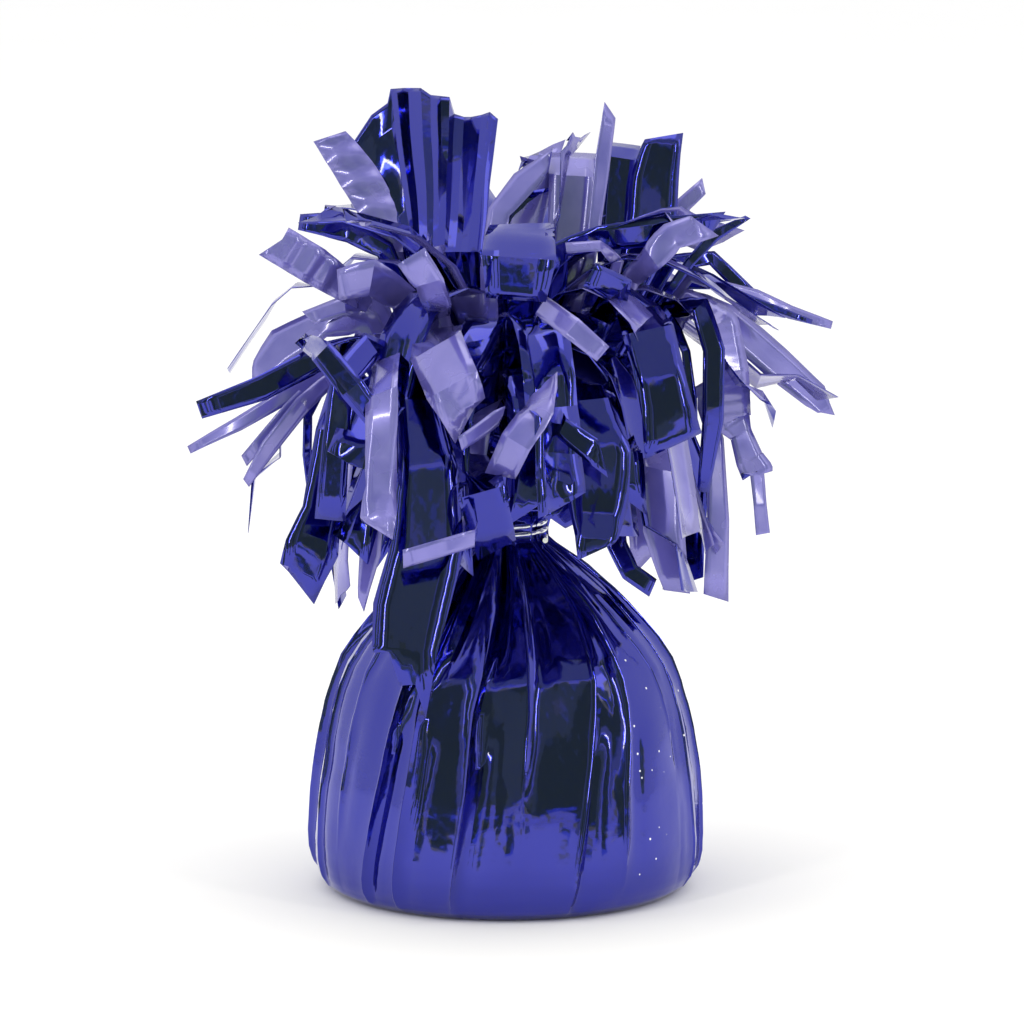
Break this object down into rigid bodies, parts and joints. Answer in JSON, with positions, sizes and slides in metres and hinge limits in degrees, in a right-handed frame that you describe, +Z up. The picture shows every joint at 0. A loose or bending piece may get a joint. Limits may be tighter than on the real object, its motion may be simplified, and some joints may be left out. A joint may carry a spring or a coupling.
{
  "type": "balloon weight",
  "caption": "Squat sand-filled jar wrapped in violet metallised film, gathered and wired at a neck, with a slit-film fringe spreading above it; holds a balloon ribbon down.",
  "frame": {"origin": "middle of the base, on the surface that the weight stands on", "axes": "+Z up through the neck, -Y the front, +X to the right seen from the front"},
  "size_m": [0.1066, 0.1059, 0.1352],
  "materials": {
    "violet_film": "polished",
    "jar_plastic": "satin",
    "sand": "matte",
    "tie_wire": "polished"
  },
  "bodies": {
    "weight": {"weight_jar": "jar_plastic", "jar_cap": "jar_plastic", "sand_fill": "sand", "foil_wrap": "violet_film", "foil_neck": "violet_film", "wire_tie": "tie_wire", "crown_root": "violet_film", "crown_strips": "violet_film"},
    "right_bunch": {"right_root": "violet_film", "right_lower_strips": "violet_film", "right_middle_strips": "violet_film", "right_upper_strips": "violet_film"},
    "back_right_bunch": {"back_right_root": "violet_film", "back_right_lower_strips": "violet_film", "back_right_middle_strips": "violet_film", "back_right_upper_strips": "violet_film"},
    "back_left_bunch": {"back_left_root": "violet_film", "back_left_lower_strips": "violet_film", "back_left_middle_strips": "violet_film", "back_left_upper_strips": "violet_film", "back_left_fan": "violet_film"},
    "left_bunch": {"left_root": "violet_film", "left_lower_strips": "violet_film", "left_middle_strips": "violet_film", "left_upper_strips": "violet_film"},
    "front_left_bunch": {"front_left_root": "violet_film", "front_left_lower_strips": "violet_film", "front_left_middle_strips": "violet_film", "front_left_upper_strips": "violet_film"},
    "front_right_bunch": {"front_right_root": "violet_film", "front_right_lower_strips": "violet_film", "front_right_middle_strips": "violet_film", "front_right_upper_strips": "violet_film"}
  },
  "joints": [
    {"name": "right_flex", "type": "hinge", "parent": "weight", "child": "right_bunch", "pos_m": [0.00605, 0, 0.06745], "axis": [0, 1, 0], "range_deg": [0, 10], "stiffness_Nm_per_rad": 0.04},
    {"name": "back_right_flex", "type": "hinge", "parent": "weight", "child": "back_right_bunch", "pos_m": [0.00302, 0.00524, 0.06745], "axis": [-0.866, 0.5, 0], "range_deg": [0, 10], "stiffness_Nm_per_rad": 0.04},
    {"name": "back_left_flex", "type": "hinge", "parent": "weight", "child": "back_left_bunch", "pos_m": [-0.00302, 0.00524, 0.06745], "axis": [-0.866, -0.5, 0], "range_deg": [0, 10], "stiffness_Nm_per_rad": 0.04},
    {"name": "left_flex", "type": "hinge", "parent": "weight", "child": "left_bunch", "pos_m": [-0.00605, 0, 0.06745], "axis": [0, -1, 0], "range_deg": [0, 10], "stiffness_Nm_per_rad": 0.04},
    {"name": "front_left_flex", "type": "hinge", "parent": "weight", "child": "front_left_bunch", "pos_m": [-0.00302, -0.00524, 0.06745], "axis": [0.866, -0.5, 0], "range_deg": [0, 10], "stiffness_Nm_per_rad": 0.04},
    {"name": "front_right_flex", "type": "hinge", "parent": "weight", "child": "front_right_bunch", "pos_m": [0.00302, -0.00524, 0.06745], "axis": [0.866, 0.5, 0], "range_deg": [0, 10], "stiffness_Nm_per_rad": 0.04}
  ]
}
